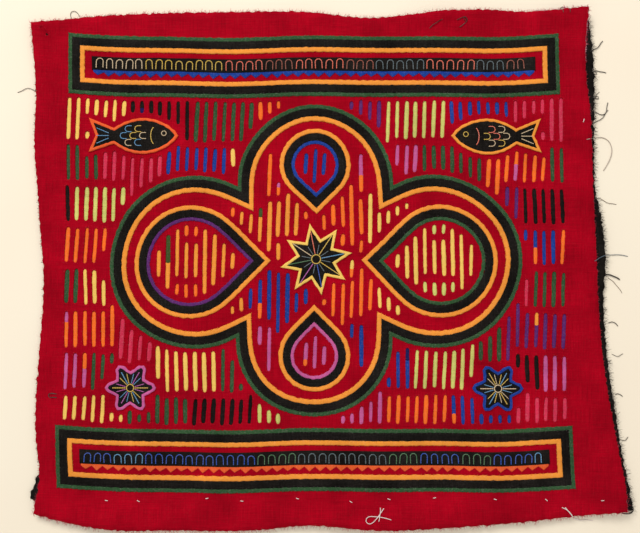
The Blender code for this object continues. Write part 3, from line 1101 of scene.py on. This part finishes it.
def slot_colour(zone, column, row):
    """Slots side by side share a colour, in runs that shift from row to row."""
    colours = COLOURS_BY_ZONE[zone][row % len(COLOURS_BY_ZONE[zone])]
    return colours[(column + 3 * row) // RUN_LENGTH % len(colours)]


def free_runs(x):
    """The free stretches of an upright line through the field, each with its zone's number."""
    runs = []
    start, held = None, -1
    for y in np.arange(FIELD_LOW, FIELD_HIGH, CELL):
        left, right = zone_at(x - SLOT_ROOM, y), zone_at(x + SLOT_ROOM, y)
        zone = left if left == right else -1
        if zone != held:
            if held >= 0:
                runs.append((start, y, held))
            start, held = y, zone
    return runs


def shared_out(low, high, zone, x):
    """A free stretch cut where the rows of slots meet, unless little would be left over."""
    drift = ROW_DRIFT * math.sin(x / DRIFT_LENGTH)
    first, last = row_at(zone, high - drift), row_at(zone, low - drift)
    cuts = []
    for row in range(math.ceil(first), math.ceil(last)):
        y = high - (row - first) * ROW_PITCH
        if low + SHORTEST_REST < y < high - SHORTEST_REST:
            cuts.append(y)
    tops = [high, *(y - ROW_GAP / 2 for y in cuts)]
    bottoms = [*(y + ROW_GAP / 2 for y in cuts), low]
    return zip(bottoms, tops)


def plan_slots():
    slots = []
    columns = int((FIELD_RIGHT - FIELD_LEFT - FIELD_MARGIN) / SLOT_PITCH)
    margin = (FIELD_RIGHT - FIELD_LEFT - columns * SLOT_PITCH) / 2
    for column in range(columns + 1):
        middle = FIELD_LEFT + margin + column * SLOT_PITCH + dice.uniform(-0.2, 0.2)
        for low, high, number in free_runs(middle):
            zone = ZONES[number]
            for start, end in shared_out(low, high, zone, middle):
                start += dice.uniform(-0.4, 1.4)
                end -= dice.uniform(-0.4, 0.8)
                if end - start < SHORTEST_SLOT:
                    continue
                row = int(row_at(zone, (start + end) / 2))
                run = (column + 3 * row) // RUN_LENGTH
                lean = LEANS[(run + 3 * row) % len(LEANS)] + dice.uniform(-0.012, 0.012)
                tip = lean * min(end - start, LONGEST_LEAN) / 2
                slots.append(Slot(
                    middle - tip, start, middle + tip, end,
                    dice.uniform(*HALF_WIDTHS), slot_colour(zone, column, row),
                ))
    return slots


# A small tear in the corner of the margin, where dark cloth shows
TEAR = Slot(-203.5, 167.5, -208.5, 173.5, 1.0, "black")


# Slots: their shape

SIDE_STEP = 1.7
CAP_POINTS = 5
SLOT_TAPER = 0.12


def slot_ring(slot, offset, uneven=None):
    """Points round a slot, anticlockwise from its lower right. The count is the slot's own."""
    low = np.array([slot.low_x, slot.low_y])
    high = np.array([slot.high_x, slot.high_y])
    way = (high - low) / np.linalg.norm(high - low)
    right = np.array([way[1], -way[0]])
    low, high = low + way * slot.half_width, high - way * slot.half_width
    length = np.linalg.norm(high - low)
    pieces = max(2, round(length / SIDE_STEP))
    shares = np.arange(pieces + 1) / pieces
    width = slot.half_width * (1 - SLOT_TAPER * (2 * shares - 1) ** 4) + offset
    points = [low + way * length * s + right * w for s, w in zip(shares, width)]
    end_width = width[-1]
    for k in range(1, CAP_POINTS + 1):
        turn = math.pi * k / (CAP_POINTS + 1)
        cap = right * math.cos(turn) * end_width + way * math.sin(turn) * (slot.half_width + offset)
        points.append(high + cap)
    points += [low + way * length * s - right * w for s, w in zip(shares[::-1], width[::-1])]
    for k in range(1, CAP_POINTS + 1):
        turn = math.pi * (1 + k / (CAP_POINTS + 1))
        cap = right * math.cos(turn) * end_width + way * math.sin(turn) * (slot.half_width + offset)
        points.append(low + cap)
    ring = np.array(points)
    if uneven is not None:
        middle = ring.mean(0)
        inward = middle + way * ((ring - middle) @ way)[:, None] - ring
        inward /= np.maximum(np.linalg.norm(inward, axis=1), 1e-6)[:, None]
        ring = ring + inward * uneven[:, None]
    return ring


# How far outside the slot's edge each ring of its folded hem lies, and how high
HemRing = namedtuple("HemRing", "offset height")
HEM_RINGS = (
    HemRing(1.00, 0.0), HemRing(0.52, 0.17), HemRing(0.10, 0.08), HemRing(-0.12, -0.28),
    HemRing(-0.02, -0.72),
)
RED_GRID = 3.4

# How far below the top the red cloth's underside lies: at its edge, more inwards, and where fully
UNDER_DEPTH = 0.36
UNDER_SAG = 0.80
UNDER_REACH = 14.0
UNDER_GRID = 12.0

# How wide and how far past a slot's ends the sheet's own points keep away
CLEAR_ACROSS = 3.2
CLEAR_ALONG = 2.0

slots = plan_slots() + [TEAR]


def red_outline():
    """The red cloth's cut edge, slightly ragged."""
    outline = smooth_closed(outlines("top_cloth")[0], 1.6, math.radians(50))
    length = lengths_along(outline).sum()
    ragged = wander(len(outline), length, 7, 0.28, 51) + wander(len(outline), length, 3, 0.16, 52)
    return inset(outline, 0.4 + ragged)


def margin_grid(outline, step, clear_of):
    """Points inside an outline on a jittered grid, away from slots."""
    low, high = outline.min(0), outline.max(0)
    grid = []
    for x in np.arange(low[0], high[0], step):
        for y in np.arange(low[1], high[1], step):
            grid.append((x + dice.uniform(-0.2, 0.2) * step, y + dice.uniform(-0.2, 0.2) * step))
    grid = np.array(grid)
    keep = is_within(grid, inset(outline, step * 0.5))
    for slot in clear_of:
        middle, lean = (slot.low_x + slot.high_x) / 2, abs(slot.high_x - slot.low_x) / 2
        near_x = np.abs(grid[:, 0] - middle) < CLEAR_ACROSS + lean
        near_y = (grid[:, 1] > slot.low_y - CLEAR_ALONG) & (grid[:, 1] < slot.high_y + CLEAR_ALONG)
        keep &= ~(near_x & near_y)
    return grid[keep]


def make_red_cloth():
    """The top sheet with its slots cut through, its hems, its cut edge and its underside."""
    heap = Heap()
    outline = red_outline()
    rings = [slot_ring(slot, HEM_RINGS[0].offset) for slot in slots]
    grid = np.vstack([margin_grid(outline, RED_GRID, slots), crease_points()])
    flat, faces, owners = fill(outline, grid, rings)
    heap.add(on_cloth(flat, 0), faces[~is_cut_out(faces, flat, owners, rings)])
    for slot, ring in zip(slots, rings):
        uneven = np.array([dice.uniform(-0.16, 0.16) for _ in ring])
        rows = [on_cloth(ring, HEM_RINGS[0].height)]
        for k, hem in enumerate(HEM_RINGS[1:], 1):
            rows.append(on_cloth(slot_ring(slot, hem.offset, uneven * min(1, k / 2)), hem.height))
        heap.grid(rows, closed_columns=True)
    bulge = on_cloth(inset(outline, -0.12), -UNDER_DEPTH / 2)
    heap.grid([on_cloth(outline, -UNDER_DEPTH), bulge, on_cloth(outline, 0)], closed_columns=True)
    under, faces, _ = fill(outline, margin_grid(outline, UNDER_GRID, ()))
    deep = np.clip(distances_to(under, outline) / UNDER_REACH, 0, 1)
    heap.add(on_cloth(under, -UNDER_DEPTH - UNDER_SAG * deep), faces[:, ::-1])
    return heap.piece("red_cloth", cottons["red"], "red_cotton", "top_cloth")


def is_cut_out(faces, flat, owners, rings):
    """Whether each triangle of the filled sheet lies inside a slot."""
    first = owners[faces[:, 0]]
    same = (first >= 0) & (owners[faces[:, 1]] == first) & (owners[faces[:, 2]] == first)
    middles = flat[faces].mean(1)
    inside = np.zeros(len(faces), bool)
    for number, ring in enumerate(rings):
        chosen = np.flatnonzero(same & (first == number))
        inside[chosen] = is_within(middles[chosen], ring)
    return inside


SCRAP_COLOURS = {
    "flame": ("yellow", "lilac"), "purple": ("orange", "blue"), "blue": ("flame", "navy"),
    "lilac": ("navy", "flame"), "orange": ("flame", "moss"), "black": ("moss", "navy"),
}
SCRAP_SHARE = 0.16
FILL_DEPTH = 0.50

# The rings of a slot's filling: how far outside the slot's edge, in millimetres and in half
# widths of the slot, and how high
FillRing = namedtuple("FillRing", "offset share height")
FILL_RINGS = (
    FillRing(0.55, 0.0, -0.3), FillRing(0.55, 0.0, -0.1),
    FillRing(0.0, -0.35, 0.10), FillRing(0.0, -0.78, 0.16),
)


def stretch_of(slot, first, last):
    """The part of a slot between two shares of its length."""
    run, rise = slot.high_x - slot.low_x, slot.high_y - slot.low_y
    return slot._replace(
        low_x=slot.low_x + run * first, low_y=slot.low_y + rise * first,
        high_x=slot.low_x + run * last, high_y=slot.low_y + rise * last,
    )


def add_slot_fill(heap, slot, sink):
    rows = []
    for ring in FILL_RINGS:
        edge = slot_ring(slot, ring.offset + ring.share * slot.half_width)
        rows.append(on_cloth(edge, ring.height - sink))
    heap.grid(rows, closed_columns=True)
    start = len(edge) - (CAP_POINTS + 1) // 2
    heap.lid(np.roll(rows[-1], -start, 0), True)
    heap.lid(np.roll(rows[0], -start, 0), False)


def make_slot_fills():
    """The coloured cotton that shows in the slots, one piece for each colour."""
    heaps = {}
    for slot in slots:
        sink = FILL_DEPTH + dice.uniform(-0.06, 0.06)
        add_slot_fill(heaps.setdefault(slot.colour, Heap()), slot, sink)
        if slot.colour not in SCRAP_COLOURS or dice.random() > SCRAP_SHARE or slot is TEAR:
            continue
        share = dice.uniform(0.3, 0.6)
        scrap = stretch_of(slot, 1 - share, 1) if dice.random() < 0.5 else stretch_of(slot, 0, share)
        colour = dice.choice(SCRAP_COLOURS[slot.colour])
        if scrap.high_y - scrap.low_y > 3 * slot.half_width:
            add_slot_fill(heaps.setdefault(colour, Heap()), scrap, sink - 0.06)
    for colour, heap in heaps.items():
        heap.piece(f"slot_fill_{colour}", cottons[colour], f"{SLOT_OF[colour]}_cotton")


def make_slot_stitches():
    """Red stitches that hold the hems of the slots."""
    lines = []
    for slot in slots:
        edge = slot_ring(slot, 0.1)
        outside = unit(slot_ring(slot, 1.1) - edge)
        for k in range(dice.randrange(2), len(edge), 2):
            along = np.array([outside[k][1], -outside[k][0]]) * dice.uniform(-0.35, 0.35)
            start = edge[k] - outside[k] * 0.12
            lines.append((start, start + outside[k] * 0.42 + along / 2, start + outside[k] * 0.95 + along))
    paths = on_cloth(np.array(lines), 0).reshape(len(lines), 3, 3)
    paths[:, :, 2] += (-0.18, 0.15, 0.0)
    heap = Heap()
    heap.tubes(paths, 0.10, 3)
    return heap.piece("slot_stitches", thread("red_sewing_thread", (0.33, 0.002, 0.012)), "red_cotton")


red_cloth = make_red_cloth()
make_slot_fills()
slot_stitches = make_slot_stitches()

STITCH_COLOURS = {
    "green": (0.035, 0.11, 0.045), "black": (0.016, 0.014, 0.013), "orange": (0.80, 0.27, 0.04),
    "blue": (0.02, 0.06, 0.34), "purple": (0.12, 0.03, 0.17), "lilac": (0.5, 0.11, 0.37),
}
for colour, heap in edge_stitches.items():
    material = thread(f"{colour}_sewing_thread", STITCH_COLOURS[colour], 0.0)
    heap.piece(f"edge_stitches_{colour}", material, f"{colour}_cotton")

THREAD_SLOTS = {
    "cream": "orange", "slate": "black", "gold": "orange", "clay": "red", "sky": "blue",
    "leaf": "green", "coral": "orange", "orchid": "lilac", "cobalt": "blue",
}
for colour, heap in threads.items():
    material = thread(f"{colour}_embroidery_thread", THREAD_COLOURS[colour])
    heap.piece(f"embroidery_{colour}", material, f"{THREAD_SLOTS[colour]}_cotton")


# The backing cloth, frayed where it shows

BLACK_GRID = 7.0
BLACK_TOP = -0.05
BLACK_UNDER = -0.45


def backing_outline():
    outline = smooth_closed(outlines("backing_cloth")[0], 1.6, math.radians(50))
    length = lengths_along(outline).sum()
    ragged = wander(len(outline), length, 9, 0.35, 61) + wander(len(outline), length, 3.4, 0.35, 62)
    return inset(outline, 0.6 + ragged)


def on_backing(points, lift):
    points = np.asarray(points, float).reshape(-1, 2)
    return np.column_stack([points, black_height(points) + lift])


def make_backing():
    heap = Heap()
    outline = backing_outline()
    flat, faces, _ = fill(outline, margin_grid(outline, BLACK_GRID, ()))
    heap.add(on_backing(flat, BLACK_TOP), faces)
    bulge = on_backing(inset(outline, -0.1), (BLACK_TOP + BLACK_UNDER) / 2)
    rim = [on_backing(outline, BLACK_UNDER), bulge, on_backing(outline, BLACK_TOP)]
    heap.grid(rim, closed_columns=True)
    heap.add(on_backing(flat, BLACK_UNDER), faces[:, ::-1])
    return heap.piece("black_cloth", cottons["black"], "black_cotton", "backing_cloth"), outline


black_cloth, backing_edge = make_backing()


# Frayed edges

def fray(name, outline, lift_to, density, longest, radius, material, slot, seed, strength):
    """Short fibres that stand out of a cut edge and droop to the table."""
    source = np.random.default_rng(seed)
    outward = unit(outline - inset(outline, 1.0))
    counts = lengths_along(outline) * density * strength + source.random(len(outline))
    chosen = np.repeat(np.arange(len(outline)), counts.astype(int))
    size = len(chosen)
    way = outward[chosen]
    along = np.stack([-way[:, 1], way[:, 0]], 1)
    spread = source.uniform(0, 1, size) * lengths_along(outline)[chosen]
    root = outline[chosen] + along * spread[:, None] - way * 0.3
    reach = longest * strength[chosen] * source.random(size) ** 2.2 + 0.35
    turn = source.normal(0, 0.55, size)
    tip = (way * np.cos(turn)[:, None] + along * np.sin(turn)[:, None]) * reach[:, None]
    bend = along * (source.uniform(-0.35, 0.35, size) * reach)[:, None]
    flat = np.stack([root, root + tip * 0.5 + bend * 0.4, root + tip + bend], 1)
    paths = lift_to(flat, 0).reshape(size, 3, 3)
    drop = source.uniform(0.1, 0.5, size)
    paths[:, :, 2] -= np.stack([np.full(size, 0.15), 0.15 + drop * 0.3, 0.2 + drop], 1)
    paths[:, :, 2] = np.maximum(paths[:, :, 2], radius)
    heap = Heap()
    heap.tubes(paths, (radius, radius, radius * 0.6), 3)
    return heap.piece(name, material, slot)


red_fibres = thread("red_fibres", (0.50, 0.035, 0.07), 0.0)
black_fibres = thread("black_fibres", (0.016, 0.013, 0.012), 0.0)
red_edge = red_outline()
red_fray = fray(
    "red_fray", red_edge, on_cloth, density=3.4, longest=2.8, radius=0.10, material=red_fibres,
    slot="red_cotton", seed=71, strength=np.where(np.abs(red_edge[:, 1]) > 160, 1.0, 0.6),
)
black_fray = fray(
    "black_fray", backing_edge, on_backing, density=3.6, longest=3.8, radius=0.10,
    material=black_fibres, slot="black_cotton", seed=72,
    strength=np.where(backing_edge[:, 0] > 150, 1.0, 0.25),
)
left_bits = fray(
    "left_edge_bits", red_edge, on_cloth, density=1.3, longest=1.5, radius=0.2,
    material=black_fibres, slot="black_cotton", seed=73,
    strength=np.where((red_edge[:, 0] < -150) & (waves(red_edge, 26, 1.0, 74) > 0.25), 1.0, 0.0),
)
selvage = fray(
    "pale_selvage", red_edge, on_cloth, density=6.0, longest=1.3, radius=0.16,
    material=thread("pale_fibres", (0.60, 0.30, 0.36), 0.0), slot="lilac_cotton", seed=75,
    strength=np.where((red_edge[:, 0] > 150) & (red_edge[:, 1] > 148), 1.0, 0.0),
)


# Loose threads

# Where a thread starts, its heading and how far that turns in degrees, its length and radius, and
# how suddenly it turns, where 1 is over its whole length
LooseThread = namedtuple("LooseThread", "colour x y heading curl length radius haste", defaults=[1.7])
LOOSE_THREADS = (
    LooseThread("dark", 190, 156, 25, 28, 13, 0.28),
    LooseThread("dark", 192, 142.5, -5, -8, 10, 0.26),
    LooseThread("grey", 191, 141.5, 0, -250, 11, 0.20),
    LooseThread("grey", 191, 122, 20, -330, 15, 0.18),
    LooseThread("dark", 191, 114, -35, 115, 19, 0.25),
    LooseThread("dark", 191, 103, 25, 30, 16, 0.22),
    LooseThread("pale", 184, 91, 8, -125, 42, 0.24),
    LooseThread("brown", 195, 50, -35, 25, 14, 0.18),
    LooseThread("grey", 196, 26, -75, 40, 8, 0.18),
    LooseThread("steel", 189, 3, 24, -32, 27, 0.22),
    LooseThread("dark", 199, -6, -8, -22, 11, 0.45),
    LooseThread("brown", 201, -8, -40, -16, 15, 0.16),
    LooseThread("dark", 201, -41, 15, -65, 8, 0.25),
    LooseThread("grey", 203, -63, -30, 60, 9, 0.17),
    LooseThread("dark", 205, -92, 10, -50, 6, 0.24),
    LooseThread("dark", 208, -124, -20, 70, 7, 0.20),
    LooseThread("dark", 214, -168, -60, -125, 15, 0.38),
    LooseThread("dark", 170, 183, 95, -175, 15, 0.22),
    LooseThread("grey", -188, 180, 95, -150, 14, 0.20),
    LooseThread("grey", -210, 126, 150, 55, 17, 0.20),
    LooseThread("dark", -193.5, -91.5, 165, 195, 13, 0.26),
    LooseThread("dark", 92, 178, 20, -520, 24, 0.20),
    LooseThread("dark", 73, 172.5, 40, -15, 11, 0.20),
    LooseThread("white", 40.1, -169.7, 226, -236, 38, 0.27, 2.8),
    LooseThread("white", 36.4, -170.2, 264, -6, 9, 0.27),
    LooseThread("white", 164.5, -170.6, -30, -30, 12, 0.27),
    LooseThread("white", 166.5, -169.9, -54, 52, 25, 0.27),
    LooseThread("white", 184, 104, 75, 0, 2.2, 0.26),
)
LOOSE_COLOURS = {
    "dark": (0.022, 0.018, 0.015), "grey": (0.11, 0.10, 0.085), "pale": (0.42, 0.35, 0.30),
    "brown": (0.16, 0.11, 0.08), "steel": (0.10, 0.14, 0.18), "white": (0.80, 0.70, 0.68),
}
LOOSE_SLOTS = {
    "dark": "black", "grey": "black", "pale": "lilac", "brown": "black", "steel": "blue",
    "white": "lilac",
}
THREAD_STEPS = 22
THREAD_SIDES = 6

# The row of basting stitches along the lower margin
BASTING_COUNT = 11
BASTING_LEFT = -166.0
BASTING_PITCH = 35.2
BASTING_Y = -165.5
BASTING_LENGTH = 1.9
BASTING_RADIUS = 0.26


def surface_height(points):
    """The height of whatever lies uppermost: the red cloth, the backing or the table."""
    height = np.where(is_within(points, backing_edge), black_height(points), 0.0)
    return np.where(is_within(points, red_edge), red_height(points), height)


def laid_thread(x, y, heading, curl, length, radius, haste=1.7):
    """The path of a thread that lies on the cloth and hangs over its edge to the table."""
    shares = np.linspace(0, 1, THREAD_STEPS)
    turned = np.clip((shares - 0.5) * haste + 0.5, 0, 1)
    headings = np.radians(heading + curl * turned ** 2 * (3 - 2 * turned) + 7 * np.sin(shares * 11))
    step = length / (THREAD_STEPS - 1)
    across, up = np.cumsum(np.cos(headings)) * step, np.cumsum(np.sin(headings)) * step
    flat = np.column_stack([x + across, y + up])
    lowest = surface_height(flat) + radius
    heights = lowest + 0.25 * np.sin(shares * math.pi)
    for _ in range(4):
        heights[1:-1] = (heights[:-2] + heights[1:-1] + heights[2:]) / 3
        heights = np.maximum(heights, lowest)
    return np.column_stack([flat, heights])


def make_loose_threads():
    heaps = {colour: Heap() for colour in LOOSE_COLOURS}
    for row in LOOSE_THREADS:
        heaps[row.colour].tubes(laid_thread(*row[1:]), row.radius, THREAD_SIDES)
    for k in range(BASTING_COUNT):
        x = BASTING_LEFT + k * BASTING_PITCH + dice.uniform(-9, 9)
        y = BASTING_Y + dice.uniform(-1.2, 1.2)
        path = laid_thread(x, y, dice.uniform(-40, 15), 0, BASTING_LENGTH, BASTING_RADIUS)
        heaps["white"].tubes(path, BASTING_RADIUS, THREAD_SIDES)
    return [
        heap.piece(f"loose_threads_{colour}", thread(f"{colour}_loose_thread", LOOSE_COLOURS[colour]),
                   f"{LOOSE_SLOTS[colour]}_cotton")
        for colour, heap in heaps.items()
    ]


loose_threads = make_loose_threads()


# Table, light and camera

# Half the table's width, in metres
TABLE_REACH = 15.0


def make_table():
    mesh = bpy.data.meshes.new("table")
    around = ((-1, -1), (1, -1), (1, 1), (-1, 1))
    corners = [(x * TABLE_REACH, y * TABLE_REACH, 0) for x, y in around]
    mesh.from_pydata(corners, [], [(0, 1, 2, 3)])
    shade = Shade("table_finish", 0.75, 0.0)
    cloud = shade.noise(5.0, 2.0)
    shade.colour(
        (0.90, 0.83, 0.69), (0.88, 0.79, 0.65), shade.between(cloud, 0.35, 0.65, 0, 1),
        shade.between(cloud, 0, 1, 0.98, 1.02),
    )
    mesh.materials.append(shade.material)
    table = bpy.data.objects.new("table", mesh)
    bpy.context.scene.collection.objects.link(table)


# Places and sizes are in metres, powers in watts
Lamp = namedtuple("Lamp", "name place size power colour")
LAMPS = (
    Lamp("window", (-0.70, 1.33, 1.12), 0.8, 24.5, (1.0, 0.97, 0.93)),
    Lamp("room_side", (0.9, -0.3, 1.2), 1.2, 3.0, (1.0, 0.95, 0.88)),
)
ROOM_COLOUR = (1.0, 0.97, 0.93)
ROOM_STRENGTH = 0.62


def area_light(name, place, size, power, colour):
    data = bpy.data.lights.new(name, "AREA")
    data.shape = "DISK"
    data.size = size
    data.energy = power
    data.color = colour
    lamp = bpy.data.objects.new(name, data)
    lamp.location = place
    lamp.rotation_mode = "QUATERNION"
    lamp.rotation_quaternion = (-Vector(place)).to_track_quat("-Z", "Y")
    bpy.context.scene.collection.objects.link(lamp)


# The camera stands nearly over the panel, as in the photograph, tipped a little towards +Y
CAMERA_PLACE = Vector((-6.2, -15.8, 461.8)) * MM
CAMERA_TILT = math.radians(1.93)
CAMERA_LENS = 36.0


def make_camera():
    data = bpy.data.cameras.new("camera")
    data.sensor_width = 36.0
    data.lens = CAMERA_LENS
    data.clip_start = 0.01
    camera = bpy.data.objects.new("camera", data)
    camera.location = CAMERA_PLACE
    camera.rotation_euler = (CAMERA_TILT, 0, 0)
    bpy.context.scene.collection.objects.link(camera)
    bpy.context.scene.camera = camera


def make_world():
    world = bpy.data.worlds.new("room")
    world.use_nodes = True
    background = world.node_tree.nodes["Background"]
    background.inputs["Color"].default_value = (*ROOM_COLOUR, 1)
    background.inputs["Strength"].default_value = ROOM_STRENGTH
    bpy.context.scene.world = world


make_table()
for lamp in LAMPS:
    area_light(*lamp)
make_world()
make_camera()
bpy.context.scene.view_settings.view_transform = "Standard"
